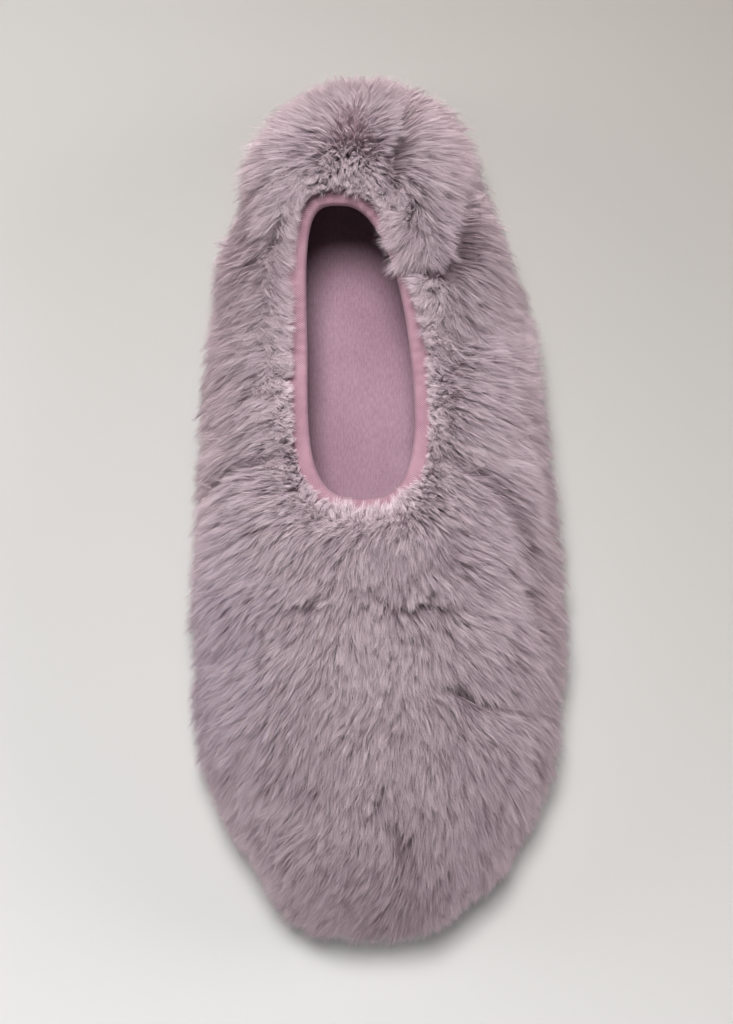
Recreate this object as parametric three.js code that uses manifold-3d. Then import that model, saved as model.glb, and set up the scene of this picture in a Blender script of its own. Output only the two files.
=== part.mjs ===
// A left house slipper: a faux-fur upper with a bound, elasticated mouth, sewn to a soft moulded sole.
// Millimetres. +Z is up, -Y is towards the toe and +X is the outer side of the left foot.
// The origin is at the middle of the slipper's footprint, on the floor.

import * as THREE from "three";
import { mergeVertices } from "three/addons/utils/BufferGeometryUtils.js";
import Module from "manifold-3d";

const wasm = await Module();
wasm.setup();

// ---- Driving sizes ----

const gap = 0.3; // between two pieces that lie face to face

// The footbed's outline and the mouth's outline are egg-shaped ovals. Each is wider at its front end,
// and its middle line drifts sideways towards the heel.
const footbed = {
  length: 241,
  middle: 0,
  squareness: 2.6,
  frontWidth: 96,
  backWidth: 60,
  frontShift: 0,
  backShift: -6.3,
  shiftPower: 2,
};
const mouth = {
  length: 90,
  heelInset: 27.2, // from the footbed's heel end
  squareness: 3,
  frontWidth: 37,
  backWidth: 27,
  frontShift: -6,
  backShift: -13.5,
  shiftPower: 3,
};

mouth.middle = footbed.length / 2 - mouth.heelInset - mouth.length / 2;

// Heights of the mouth's edge above the floor.
const heelHeight = 52;
const sideHeight = 39;
const throatHeight = 44;
const fullness = 2.4; // 2 gives an elliptical upper, and more gives steeper sides and a flatter top

// Thicknesses of the upper's layers, from the foot outwards.
const liningThickness = 0.8;
const counterThickness = 1;
const paddingThickness = 3;
const pressedPadding = 1.2; // at the mouth, where the binding grips it
const backingThickness = 1.2;
const pileHeight = 10.3; // the fur lies over, so it stands lower than its hairs are long

// The bound edge of the mouth.
const bindingCloth = 0.6;
const bindingWidth = 4.6; // on the outside, from the edge of the elastic
const elasticWidth = 2;
const pileRamp = 7; // the pile reaches its full height this far from the binding
const hemRise = 9; // and this far above its lower edge
const threadWidth = 0.5;
const stitchInset = 0.9; // from the binding's outer edge to its row of stitches
const tapeWidth = 12;
const tapeThickness = 0.5;

// The sole, from the floor up.
const soleRim = 7;
const soleFloor = 3.4;
const soleMargin = 0.8; // past the fur's backing, which is the outermost layer that the sole carries
const rimWidth = 10.5;
const soleEdgeRound = 2.2;
const channel = { inset: 3.2, width: 1.6, depth: 1.2 }; // under the rim, for the stitches that hold the upper
const boardThickness = 1.2;
const cushionThickness = 5;
const coverThickness = 0.8;
const insoleClearance = 0.5;
const hemThickness = liningThickness + gap + paddingThickness + gap + backingThickness;
const soleOverhang = hemThickness + soleMargin; // past the footbed's outline

const groove = { width: 2.4, depth: 1.3, pitch: 9.5, margin: 11 };
const grooveBands = [
  { name: "forefoot", from: -0.78, to: 0.02 }, // as shares of half the footbed's length
  { name: "heel", from: 0.46, to: 0.84 },
];

// Where the side seams meet the sole, and how far round the heel the counter reaches, in degrees.
const sideSeam = 92;
const counterReach = 54;

const colours = {
  fur: 0xa3919a,
  foam: 0xe6dfd8,
  lining: 0xb9919f,
  counter: 0xd8d2c6,
  binding: 0xc79fae,
  elastic: 0xe9e4e2,
  thread: 0xa9788c,
  insole: 0xb28e9c,
  board: 0xc9b79a,
  sole: 0x9b8890,
};

// ---- The form: the surface on the foot's side of the lining ----

const degrees = THREE.MathUtils.degToRad;

// A point of an oval. Angle 0 is its heel end, 90 its outer side and 180 its toe end.
function ovalPoint(oval, angle, grow = 0) {
  const [across, along] = [Math.sin(degrees(angle)), Math.cos(degrees(angle))];
  const power = oval.squareness;
  const reach = (Math.abs(across) ** power + Math.abs(along) ** power) ** (-1 / power);
  const back = (along * reach + 1) / 2;
  const halfWidth = THREE.MathUtils.lerp(oval.frontWidth, oval.backWidth, back) / 2 + grow;
  const shift = THREE.MathUtils.lerp(oval.frontShift, oval.backShift, back ** oval.shiftPower);
  return new THREE.Vector2(
    shift + halfWidth * across * reach,
    oval.middle + (oval.length / 2 + grow) * along * reach,
  );
}

// Which angle of the mouth stands over which angle of the footbed.
const footbedStations = [0, 22, 44, 62, 86, 120, 180];
const mouthStations = [0, 24, 47, 78, 119, 153, 180];
const stationCurve = new THREE.CubicInterpolant(footbedStations, mouthStations, 1);

function mouthAngle(bearing) {
  const turned = THREE.MathUtils.euclideanModulo(bearing, 360);
  const mirrored = Math.min(turned, 360 - turned);
  const angle = stationCurve.evaluate(mirrored)[0];
  return turned > 180 ? 360 - angle : angle;
}

const seatHeight = soleRim + gap; // the upper and the board stand on the sole's rim
const edgeGrow = bindingCloth + gap; // from the clear mouth out to the edge of the elastic
const stackEnd = elasticWidth + gap; // where the upper's layers stop, short of the elastic

function mouthHeight(bearing) {
  const facing = Math.cos(degrees(mouthAngle(bearing)));
  const end = facing > 0 ? heelHeight : throatHeight;
  return sideHeight + (end - sideHeight) * Math.abs(facing) ** 1.5;
}

const lowerEdge = (bearing) => ovalPoint(footbed, bearing);
const upperEdge = (bearing) => ovalPoint(mouth, mouthAngle(bearing), edgeGrow);
const span = (bearing) => lowerEdge(bearing).distanceTo(upperEdge(bearing));

function outwardFromMouth(bearing) {
  const turn = 0.05;
  const along = upperEdge(bearing + turn).sub(upperEdge(bearing - turn));
  return new THREE.Vector2(-along.y, along.x).normalize();
}

// share is 1 at the sole and 0 at the edge of the mouth, which every row leaves at a right angle.
function formPoint(bearing, share) {
  const edge = upperEdge(bearing);
  const plan = edge.clone().addScaledVector(lowerEdge(bearing).sub(edge), share ** 2);
  plan.addScaledVector(outwardFromMouth(bearing), span(bearing) * share * (1 - share));
  const rise = Math.max(0, 1 - share ** fullness) ** (1 / fullness);
  const height = THREE.MathUtils.lerp(seatHeight, mouthHeight(bearing), rise);
  return new THREE.Vector3(plan.x, plan.y, height);
}

function formNormal(bearing, share) {
  const turn = 0.05;
  const step = 1e-4;
  const low = Math.max(share - step, 0);
  const high = Math.min(share + step, 1);
  const around = formPoint(bearing + turn, share).sub(formPoint(bearing - turn, share));
  const inward = formPoint(bearing, low).sub(formPoint(bearing, high));
  const normal = inward.cross(around);
  if (share === 1) normal.z = 0;
  return normal.normalize();
}

function layerPoint(bearing, share, off) {
  return formPoint(bearing, share).addScaledVector(formNormal(bearing, share), off);
}

// A point by its distance from the mouth's edge, measured in plan, and its height off the form. Over the
// elastic it lies on a straight line, so that what wraps the elastic keeps its gap.
function edgePoint(bearing, distance, off) {
  const at = (row) => layerPoint(bearing, row / span(bearing), off);
  if (distance >= stackEnd) return at(distance);
  if (distance >= 0) return at(0).lerp(at(stackEnd), distance / stackEnd);
  const outwards = outwardFromMouth(bearing);
  return at(0).add(new THREE.Vector3(outwards.x, outwards.y, 0).multiplyScalar(distance));
}

// ---- Bearings and rows that every layer shares, so that nested layers keep their gaps ----

const seamHalf = (gap / 2 / (footbed.frontWidth / 2)) * THREE.MathUtils.RAD2DEG;

function bearingsBetween(from, to, count) {
  const bearings = [];
  for (let i = 0; i <= count; i++) bearings.push(THREE.MathUtils.lerp(from, to, i / count));
  return bearings;
}

const panels = {
  outer_quarter: bearingsBetween(seamHalf, sideSeam - seamHalf, 12),
  vamp: bearingsBetween(sideSeam + seamHalf, 360 - sideSeam - seamHalf, 26),
  inner_quarter: bearingsBetween(360 - sideSeam + seamHalf, 360 - seamHalf, 12),
};
const allRound = Object.values(panels).flat();
const leftwards = allRound.toReversed(); // anticlockwise from above, for level outlines

const risingAngles = [0, 5, 12, 22, 34, 46, 58];
const topRows = 3;

// The shares of the rows at a bearing, from the sole up to where the layers stop at the elastic.
function rowsAt(bearing) {
  const start = bindingWidth / span(bearing);
  const rows = risingAngles.map((angle) =>
    THREE.MathUtils.lerp(start, 1, Math.cos(degrees(angle)) ** (2 / fullness)),
  );
  const last = rows[rows.length - 1];
  for (let i = 1; i <= topRows; i++) rows.push(THREE.MathUtils.lerp(last, start, i / topRows));
  rows.push(stackEnd / span(bearing));
  return rows;
}

const lastRow = rowsAt(0).length - 1;

// ---- Layer offsets from the form ----

// How far a row lies down the wall from the binding.
function fromBinding(bearing, share) {
  const edge = formPoint(bearing, 0);
  const start = formPoint(bearing, bindingWidth / span(bearing));
  return formPoint(bearing, share).distanceTo(edge) - start.distanceTo(edge);
}

function padding(bearing, share) {
  const fromMouth = THREE.MathUtils.smoothstep(fromBinding(bearing, share), 0, pileRamp);
  return THREE.MathUtils.lerp(pressedPadding, paddingThickness, fromMouth);
}

function pile(bearing, share) {
  const above = formPoint(bearing, share).z - seatHeight;
  const fromMouth = THREE.MathUtils.smoothstep(fromBinding(bearing, share), 0, pileRamp);
  const fromHem = THREE.MathUtils.smoothstep(above, -hemRise / 3, hemRise);
  return backingThickness + pileHeight * fromMouth * fromHem;
}

const counterRow = 4;
const fromHeel = (bearing) => Math.min(bearing, 360 - bearing);
const overCounter = (bearing, row) => fromHeel(bearing) <= counterReach && row <= counterRow;

const counterOff = liningThickness + gap;
const paddingOff = (bearing, share, row) =>
  liningThickness + gap + (overCounter(bearing, row) ? counterThickness + gap : 0);
const furOff = (bearing, share) => liningThickness + gap + padding(bearing, share) + gap;
const stackHeight = liningThickness + gap + pressedPadding + gap + backingThickness;

// ---- Solids ----

// Joins sections, which are rings of as many points, into a closed body. A section's second half runs
// back beside its first, and both halves are creased the same way, so that layers nest. An open body's
// two ends are closed across the sections.
function sweptSolid(sections, closed) {
  const size = sections[0].length;
  const count = sections.length;
  const positions = sections.flat().flatMap((point) => point.toArray());
  const faces = [];
  const at = (section, corner) => (section % count) * size + (corner % size);
  for (let i = 0; i < (closed ? count : count - 1); i++) {
    for (let j = 0; j < size; j++) {
      const [a, b, c, d] = [at(i, j), at(i, j + 1), at(i + 1, j + 1), at(i + 1, j)];
      if (j < size / 2) faces.push(a, b, c, a, c, d);
      else faces.push(a, b, d, b, c, d);
    }
  }
  for (let j = 0; !closed && j < size / 2 - 1; j++) {
    const [a, b, c, d] = [j, size - 1 - j, size - 2 - j, j + 1].map((corner) => at(0, corner));
    const end = (count - 1) * size;
    faces.push(a, b, d, d, b, c);
    faces.push(end + a, end + d, end + b, end + d, end + c, end + b);
  }
  return facingOut(positions, faces);
}

// Joins level outlines of as many points, from the lowest up, and closes the lowest and the highest.
function stackedSolid(outlines) {
  const size = outlines[0].length;
  const positions = outlines.flat().flatMap((point) => point.toArray());
  const faces = [];
  for (let level = 0; level < outlines.length - 1; level++) {
    for (let i = 0; i < size; i++) {
      const a = level * size + i;
      const b = level * size + ((i + 1) % size);
      faces.push(a, b, b + size, a, b + size, a + size);
    }
  }
  const flat = (outline) => outline.map((point) => new THREE.Vector2(point.x, point.y));
  const top = (outlines.length - 1) * size;
  for (const [a, b, c] of THREE.ShapeUtils.triangulateShape(flat(outlines[0]), [])) faces.push(c, b, a);
  for (const [a, b, c] of THREE.ShapeUtils.triangulateShape(flat(outlines.at(-1)), [])) {
    faces.push(top + a, top + b, top + c);
  }
  return facingOut(positions, faces);
}

function facingOut(positions, faces) {
  const geometry = new THREE.BufferGeometry();
  geometry.setAttribute("position", new THREE.Float32BufferAttribute(positions, 3));
  geometry.setIndex(faces);
  if (toSolid(geometry).volume() < 0) geometry.index.array.reverse();
  return geometry;
}

function toSolid(geometry) {
  const bare = geometry.clone();
  bare.deleteAttribute("normal");
  bare.deleteAttribute("uv");
  const merged = mergeVertices(bare, 1e-3);
  return new wasm.Manifold(
    new wasm.Mesh({
      numProp: 3,
      vertProperties: merged.attributes.position.array,
      triVerts: new Uint32Array(merged.index.array),
    }),
  );
}

function toGeometry(solid) {
  const mesh = solid.getMesh();
  const geometry = new THREE.BufferGeometry();
  geometry.setAttribute("position", new THREE.BufferAttribute(mesh.vertProperties, 3));
  geometry.setIndex(new THREE.BufferAttribute(mesh.triVerts, 1));
  return geometry;
}

const slipper = new THREE.Group();

function addPiece(name, geometry, colour, roughness = 0.95) {
  const material = new THREE.MeshStandardMaterial({ color: colour, roughness, metalness: 0 });
  const mesh = new THREE.Mesh(geometry, material);
  mesh.name = name;
  slipper.add(mesh);
}

// ---- The upper ----

// A layer over some bearings and rows, between two offsets that are given by bearing, share and row. It can
// stop at a distance from the mouth's edge in place of its last row.
function layer(bearings, inner, outer, firstRow = 0, endRow = lastRow, stop = null) {
  const sections = bearings.map((bearing) => {
    const shares = rowsAt(bearing).slice(firstRow, endRow + 1);
    if (stop) shares[shares.length - 1] = stop / span(bearing);
    const side = (offset) =>
      shares.map((share, i) => layerPoint(bearing, share, offset(bearing, share, firstRow + i)));
    return [...side(outer), ...side(inner).reverse()];
  });
  return sweptSolid(sections, false);
}

const liningOff = () => liningThickness;
const paddingTop = (bearing, share) => furOff(bearing, share) - gap;
const furTop = (bearing, share) => furOff(bearing, share) + pile(bearing, share);
for (const [name, bearings] of Object.entries(panels)) {
  addPiece(`${name}_lining`, layer(bearings, () => 0, liningOff), colours.lining);
  addPiece(`${name}_padding`, layer(bearings, paddingOff, paddingTop), colours.foam);
  addPiece(`${name}_fur`, layer(bearings, furOff, furTop), colours.fur, 1);
}

const heelBearings = (reach) => [
  ...panels.inner_quarter.filter((bearing) => 360 - bearing <= reach).map((bearing) => bearing - 360),
  ...panels.outer_quarter.filter((bearing) => bearing <= reach),
];

const counterTop = () => counterOff + counterThickness;
addPiece(
  "heel_counter",
  layer(heelBearings(counterReach), () => counterOff, counterTop, 0, counterRow),
  colours.counter,
);

// ---- The mouth's binding, elastic and stitches ----

const ring = (corners) =>
  sweptSolid(
    allRound.map((bearing) => corners.map(([distance, off]) => edgePoint(bearing, distance, off))),
    true,
  );

const bindingTop = stackHeight + gap + bindingCloth;
const bindingBase = -gap - bindingCloth;
addPiece(
  "mouth_binding",
  ring([
    [-edgeGrow, 0],
    [0, bindingBase],
    [stackEnd, bindingBase],
    [bindingWidth, bindingBase],
    [bindingWidth, -gap],
    [stackEnd, -gap],
    [0, -gap],
    [-gap, -gap],
    [-gap, stackHeight + gap],
    [0, stackHeight + gap],
    [stackEnd, stackHeight + gap],
    [bindingWidth, stackHeight + gap],
    [bindingWidth, bindingTop],
    [stackEnd, bindingTop],
    [0, bindingTop],
    [-edgeGrow, stackHeight],
  ]),
  colours.binding,
);
addPiece(
  "mouth_elastic",
  ring([
    [elasticWidth, 0],
    [elasticWidth, stackHeight],
    [0, stackHeight],
    [0, 0],
  ]),
  colours.elastic,
);

const stitchOuter = bindingWidth - stitchInset;
const stitchBase = bindingTop + gap;
addPiece(
  "binding_stitches",
  ring([
    [stitchOuter, stitchBase],
    [stitchOuter, stitchBase + threadWidth],
    [stitchOuter - threadWidth, stitchBase + threadWidth],
    [stitchOuter - threadWidth, stitchBase],
  ]),
  colours.thread,
);

// ---- The sole and the insole ----

// The footbed's outline grown or shrunk, and the lining's inside at a height, shrunk by a clearance.
function footbedOutline(grow, height) {
  return leftwards.map((bearing) => {
    const normal = formNormal(bearing, 1);
    const plan = lowerEdge(bearing);
    return new THREE.Vector3(plan.x + normal.x * grow, plan.y + normal.y * grow, height);
  });
}

function insideOutline(height, clearance) {
  return leftwards.map((bearing) => {
    const wall = rowsAt(bearing).map((share) => formPoint(bearing, share));
    const above = Math.max(1, wall.findIndex((point) => point.z > height));
    const [low, high] = [wall[above - 1], wall[above]];
    const point = low.clone().lerp(high, (height - low.z) / (high.z - low.z));
    point.addScaledVector(formNormal(bearing, 1), -clearance);
    point.z = height;
    return point;
  });
}

function insoleSlab(bottom, thickness) {
  return stackedSolid([
    insideOutline(bottom, insoleClearance),
    insideOutline(bottom + thickness, insoleClearance),
  ]);
}

// A slot with round ends that runs across the sole's underside, as wide as the footbed there.
function tread() {
  let cuts = null;
  for (const band of grooveBands) {
    const half = footbed.length / 2;
    const count = Math.floor(((band.to - band.from) * half) / groove.pitch);
    for (let i = 0; i <= count; i++) {
      const along = footbed.middle + band.from * half + i * groove.pitch;
      const angle = Math.acos(Math.abs((along - footbed.middle) / half) ** (footbed.squareness / 2));
      const bearing = along > footbed.middle ? angle : Math.PI - angle;
      const outer = ovalPoint(footbed, bearing * THREE.MathUtils.RAD2DEG).x - groove.margin;
      const inner = ovalPoint(footbed, 360 - bearing * THREE.MathUtils.RAD2DEG).x + groove.margin;
      const radius = groove.width / 2;
      const slot = new THREE.Shape();
      slot.absarc(inner + radius, along, radius, Math.PI / 2, 1.5 * Math.PI);
      slot.absarc(outer - radius, along, radius, -Math.PI / 2, Math.PI / 2);
      const depth = 2 * groove.depth;
      const cut = new THREE.ExtrudeGeometry(slot, { depth, bevelEnabled: false, curveSegments: 4 });
      cut.translate(0, 0, -groove.depth);
      cuts = cuts ? cuts.add(toSolid(cut)) : toSolid(cut);
    }
  }
  return cuts;
}

// A square-cornered ring under the rim, between two insets from the footbed's outline.
function underRim(centre, width, low, high) {
  const outline = (grow, height) => footbedOutline(grow, height);
  const [outer, inner] = [centre + width / 2, centre - width / 2];
  const corners = [outline(outer, low), outline(outer, high), outline(inner, high), outline(inner, low)];
  return sweptSolid(leftwards.map((_, i) => corners.map((corner) => corner[i])), true);
}

const channelAt = soleOverhang - soleEdgeRound - channel.inset;
const soleBody = toSolid(
  stackedSolid([
    footbedOutline(soleOverhang - soleEdgeRound, 0),
    footbedOutline(soleOverhang - soleEdgeRound * 0.3, soleEdgeRound * 0.7),
    footbedOutline(soleOverhang, soleEdgeRound * 1.6),
    footbedOutline(soleOverhang, soleRim),
  ]),
);
const pocketGrow = soleOverhang - rimWidth;
const pocket = toSolid(
  stackedSolid([footbedOutline(pocketGrow, soleFloor), footbedOutline(pocketGrow, soleRim + 1)]),
);
const channelCut = toSolid(underRim(channelAt, channel.width, -channel.depth, channel.depth));
const sole = soleBody.subtract(pocket).subtract(tread()).subtract(channelCut);
addPiece("outsole", toGeometry(sole), colours.sole, 0.7);
addPiece(
  "sole_stitches",
  underRim(channelAt, channel.width - 2 * gap, channel.depth - gap - threadWidth, channel.depth - gap),
  colours.thread,
);
const fillerGrow = pocketGrow - gap;
addPiece(
  "sole_filler",
  stackedSolid([footbedOutline(fillerGrow, soleFloor + gap), footbedOutline(fillerGrow, soleRim)]),
  colours.foam,
);

const cushionBase = seatHeight + boardThickness + gap;
const coverBase = cushionBase + cushionThickness + gap;
addPiece("insole_board", insoleSlab(seatHeight, boardThickness), colours.board);
addPiece("insole_cushion", insoleSlab(cushionBase, cushionThickness), colours.foam);
addPiece("insole_cover", insoleSlab(coverBase, coverThickness), colours.insole);

// ---- The tape over the back seam, inside, from the insole up to the binding ----

const insoleTop = coverBase + coverThickness;
const tapeFirstRow = rowsAt(0).findIndex((share) => formPoint(0, share).z > insoleTop + gap);
const tapeReach = (bearing) => Math.abs(ovalPoint(footbed, bearing).x - ovalPoint(footbed, 0).x);
const tapeBearings = heelBearings(counterReach).filter((bearing) => tapeReach(bearing) <= tapeWidth / 2 + 1);
const tapeInner = () => -gap - tapeThickness;
addPiece(
  "heel_seam_tape",
  layer(tapeBearings, tapeInner, () => -gap, tapeFirstRow, lastRow - 1, bindingWidth + gap),
  colours.binding,
);

// The origin goes to the middle of the footprint, on the floor.
const box = new THREE.Box3().setFromObject(slipper);
const middle = box.getCenter(new THREE.Vector3());
slipper.position.set(-middle.x, -middle.y, -box.min.z);

export default slipper;
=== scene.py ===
# A fluffy left house slipper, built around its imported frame, with the toe towards -Y. Its shapes are worked out
# in millimetres, and inFrame brings them onto the frame, in metres.
import math

import bpy
import numpy as np
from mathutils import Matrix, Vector
from mathutils.kdtree import KDTree


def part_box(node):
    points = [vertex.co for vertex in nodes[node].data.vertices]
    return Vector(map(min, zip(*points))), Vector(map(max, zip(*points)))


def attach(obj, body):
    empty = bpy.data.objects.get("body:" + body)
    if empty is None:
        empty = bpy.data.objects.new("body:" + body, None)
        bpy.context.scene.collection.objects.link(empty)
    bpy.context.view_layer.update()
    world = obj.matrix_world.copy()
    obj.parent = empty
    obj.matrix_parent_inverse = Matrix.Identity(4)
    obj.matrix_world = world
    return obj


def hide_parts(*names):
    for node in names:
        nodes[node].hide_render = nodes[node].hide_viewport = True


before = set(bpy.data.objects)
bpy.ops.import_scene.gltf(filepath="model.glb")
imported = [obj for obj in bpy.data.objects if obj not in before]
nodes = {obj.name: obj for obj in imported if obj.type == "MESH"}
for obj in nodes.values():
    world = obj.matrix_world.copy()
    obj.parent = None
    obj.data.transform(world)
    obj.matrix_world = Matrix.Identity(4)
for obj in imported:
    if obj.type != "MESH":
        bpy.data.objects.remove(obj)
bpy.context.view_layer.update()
mm = 0.001
print("frame loaded:", len(nodes), "nodes")


# colours and material nodes

def linear(hexColour):
    parts = [int(hexColour[i:i + 2], 16) / 255 for i in (1, 3, 5)]
    return tuple(p / 12.92 if p <= 0.04045 else ((p + 0.055) / 1.055) ** 2.4 for p in parts) + (1,)


# each input takes a value or another node's output
def setInputs(tree, node, inputs):
    for key, value in inputs.items():
        if isinstance(value, bpy.types.NodeSocket):
            tree.links.new(value, node.inputs[key])
        else:
            node.inputs[key].default_value = value


def addNode(tree, kind, inputs=None, **settings):
    node = tree.nodes.new("ShaderNode" + kind)
    for key, value in settings.items():
        setattr(node, key, value)
    setInputs(tree, node, inputs or {})
    return node


def newMaterial(name):
    material = bpy.data.materials.new(name)
    material.use_nodes = True
    tree = material.node_tree
    return material, tree, tree.nodes["Principled BSDF"]


def setRamp(node, stops):
    ramp = node.color_ramp
    while len(ramp.elements) > len(stops):
        ramp.elements.remove(ramp.elements[-1])
    while len(ramp.elements) < len(stops):
        ramp.elements.new(0.5)
    for element, (place, colour) in zip(ramp.elements, stops):
        element.position = place
        element.color = linear(colour)


# the slipper's form, which is the surface on the foot's side of the lining

footbed = dict(length=241, middle=0, power=2.6, front=96, back=60, frontShift=0, backShift=-6.3, shiftPower=2)
mouth = dict(length=90, middle=48.3, power=3, front=37, back=27, frontShift=-6, backShift=-13.5, shiftPower=3)
layers = dict(
    gap=0.3, lining=0.8, padding=3, pressedPadding=1.2, backing=1.2, seat=7.3, edgeGrow=0.9,
    heel=52, side=39, throat=44, sideDip=1.5, fullness=2.4, bindingWidth=4.6, bindingCloth=0.6, elastic=2,
    pileRamp=7, hemRise=9, soleOverhang=6.4,
)
stackHeight = layers["lining"] + layers["pressedPadding"] + layers["backing"] + 2 * layers["gap"]
# bearings round the foot, in degrees from the heel, and the places round the mouth that they meet
footStations = np.array([0, 22, 44, 62, 86, 120, 180.0])
mouthStations = np.array([0, 24, 47, 78, 119, 153, 180.0])
slope = dict(turn=0.3, share=1e-4)  # how far to each side a slope is measured


def smooth(x, low, high):
    t = np.clip((x - low) / (high - low), 0, 1)
    return t * t * (3 - 2 * t)


def ovalPoint(oval, angle, grow=0.0):
    across, along = np.sin(np.radians(angle)), np.cos(np.radians(angle))
    power = oval["power"]
    reach = (np.abs(across) ** power + np.abs(along) ** power) ** (-1 / power)
    back = (along * reach + 1) / 2
    half = (oval["front"] * (1 - back) + oval["back"] * back) / 2 + grow
    drift = back ** oval["shiftPower"]
    shift = oval["frontShift"] * (1 - drift) + oval["backShift"] * drift
    halfLength = oval["length"] / 2 + grow
    return np.stack([shift + half * across * reach, oval["middle"] + halfLength * along * reach], -1)


def mouthAngle(bearing):
    turned = np.mod(bearing, 360.0)
    mirrored = np.minimum(turned, 360 - turned)
    slopes = np.gradient(mouthStations, footStations)
    i = np.clip(np.searchsorted(footStations, mirrored, side="right") - 1, 0, len(footStations) - 2)
    width = footStations[i + 1] - footStations[i]
    t = (mirrored - footStations[i]) / width
    angle = (
        (2 * t**3 - 3 * t**2 + 1) * mouthStations[i] + (t**3 - 2 * t**2 + t) * width * slopes[i]
        + (3 * t**2 - 2 * t**3) * mouthStations[i + 1] + (t**3 - t**2) * width * slopes[i + 1]
    )
    return np.where(turned > 180, 360 - angle, angle)


def lowerEdge(bearing):
    return ovalPoint(footbed, bearing)


def upperEdge(bearing):
    return ovalPoint(mouth, mouthAngle(bearing), layers["edgeGrow"])


def span(bearing):
    return np.linalg.norm(lowerEdge(bearing) - upperEdge(bearing), axis=-1)


def outwardFromMouth(bearing):
    along = upperEdge(bearing + slope["turn"]) - upperEdge(bearing - slope["turn"])
    out = np.stack([-along[..., 1], along[..., 0]], -1)
    return out / np.linalg.norm(out, axis=-1, keepdims=True)


# share runs from 0 at the mouth's edge to 1 at the hem
def formPoint(bearing, share):
    edge, far = upperEdge(bearing), lowerEdge(bearing)
    share = np.clip(share, 0, 1)
    push = (span(bearing) * share * (1 - share))[..., None]
    plan = edge + (far - edge) * share[..., None] ** 2 + outwardFromMouth(bearing) * push
    facing = np.cos(np.radians(mouthAngle(bearing)))
    end = np.where(facing > 0, layers["heel"], layers["throat"])
    top = layers["side"] + (end - layers["side"]) * np.abs(facing) ** layers["sideDip"]
    rise = np.maximum(0, 1 - share ** layers["fullness"]) ** (1 / layers["fullness"])
    return np.concatenate([plan, (layers["seat"] + (top - layers["seat"]) * rise)[..., None]], -1)


def formNormal(bearing, share):
    low, high = np.clip(share - slope["share"], 0, 1), np.clip(share + slope["share"], 0, 1)
    around = formPoint(bearing + slope["turn"], share) - formPoint(bearing - slope["turn"], share)
    normal = np.cross(formPoint(bearing, low) - formPoint(bearing, high), around)
    normal[..., 2] = np.where(share >= 1 - slope["share"], 0, normal[..., 2])  # level at the hem
    return normal / np.linalg.norm(normal, axis=-1, keepdims=True)


# a point that stands off the form
def layerPoint(bearing, share, off):
    off = np.asarray(off, float)
    return formPoint(bearing, share) + formNormal(bearing, share) * off[..., None]


# the distance from the binding's outer edge
def fromBinding(bearing, share):
    edge = formPoint(bearing, np.zeros_like(bearing))
    start = formPoint(bearing, layers["bindingWidth"] / span(bearing))
    here = formPoint(bearing, share)
    return np.linalg.norm(here - edge, axis=-1) - np.linalg.norm(start - edge, axis=-1)


def paddingAt(bearing, share):
    ease = smooth(fromBinding(bearing, share), 0, layers["pileRamp"])
    return layers["pressedPadding"] + (layers["padding"] - layers["pressedPadding"]) * ease


def furBase(bearing, share):
    return layers["lining"] + paddingAt(bearing, share) + 2 * layers["gap"]


# the pile thins out at the binding and at the hem
def pileEase(bearing, share):
    above = formPoint(bearing, share)[..., 2] - layers["seat"]
    nearMouth = smooth(fromBinding(bearing, share), 0, layers["pileRamp"])
    return nearMouth * smooth(above, -layers["hemRise"] / 3, layers["hemRise"])


def outline(grow, bearing):
    normal = formNormal(bearing, np.ones_like(bearing))[..., :2]
    return lowerEdge(bearing) + normal * grow


# the frame's origin is the middle of the whole slipper's box, so the form is placed on it by the sole's outline
wholeTurn = np.linspace(0, 360, 721)[:-1]
soleEdge = outline(layers["soleOverhang"], wholeTurn)
soleLow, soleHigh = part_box("outsole")
toFrame = np.array([
    (soleLow[0] + soleHigh[0]) / 2 / mm - (soleEdge[:, 0].min() + soleEdge[:, 0].max()) / 2,
    (soleLow[1] + soleHigh[1]) / 2 / mm - (soleEdge[:, 1].min() + soleEdge[:, 1].max()) / 2,
    0,
])


def inFrame(points):
    return (np.asarray(points) + toFrame) * mm


# meshes

def deselectAll():
    if bpy.context.object and bpy.context.object.mode != "OBJECT":
        bpy.ops.object.mode_set(mode="OBJECT")
    bpy.ops.object.select_all(action="DESELECT")


def makeActive(obj):
    deselectAll()
    obj.select_set(True)
    bpy.context.view_layer.objects.active = obj


def addPiece(name, mesh, material):
    mesh.materials.append(material)
    mesh.validate()
    obj = bpy.data.objects.new(name, mesh)
    bpy.context.collection.objects.link(obj)
    makeActive(obj)
    bpy.ops.object.shade_smooth()
    return obj


def meshPiece(name, points, faces, material):
    mesh = bpy.data.meshes.new(name)
    mesh.from_pydata([tuple(p) for p in points], [], faces)
    obj = addPiece(name, mesh, material)
    bpy.ops.object.mode_set(mode="EDIT")
    bpy.ops.mesh.select_all(action="SELECT")
    bpy.ops.mesh.normals_make_consistent(inside=False)
    bpy.ops.object.mode_set(mode="OBJECT")
    return obj


# joins sections of equal size, and closes an open body's ends across the sections
def sweep(sections, closed):
    count, size = sections.shape[:2]
    faces = []
    for i in range(count if closed else count - 1):
        k = (i + 1) % count
        for j in range(size):
            m = (j + 1) % size
            faces.append((i * size + j, i * size + m, k * size + m, k * size + j))
    if not closed:
        for j in range(size // 2 - 1):
            for base in (0, (count - 1) * size):
                faces.append((base + j, base + j + 1, base + size - 2 - j, base + size - 1 - j))
    return sections.reshape(-1, 3), faces


# faces round a row of rings of equal size, with one face at each end; first is the first point's number
def ringFaces(first, rings, size):
    faces = []
    last = first + (rings - 1) * size
    for i in range(first, last, size):
        for j in range(size):
            m = (j + 1) % size
            faces.append((i + j, i + m, i + size + m, i + size + j))
    return faces + [tuple(range(first, first + size)), tuple(range(last, last + size))]


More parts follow.
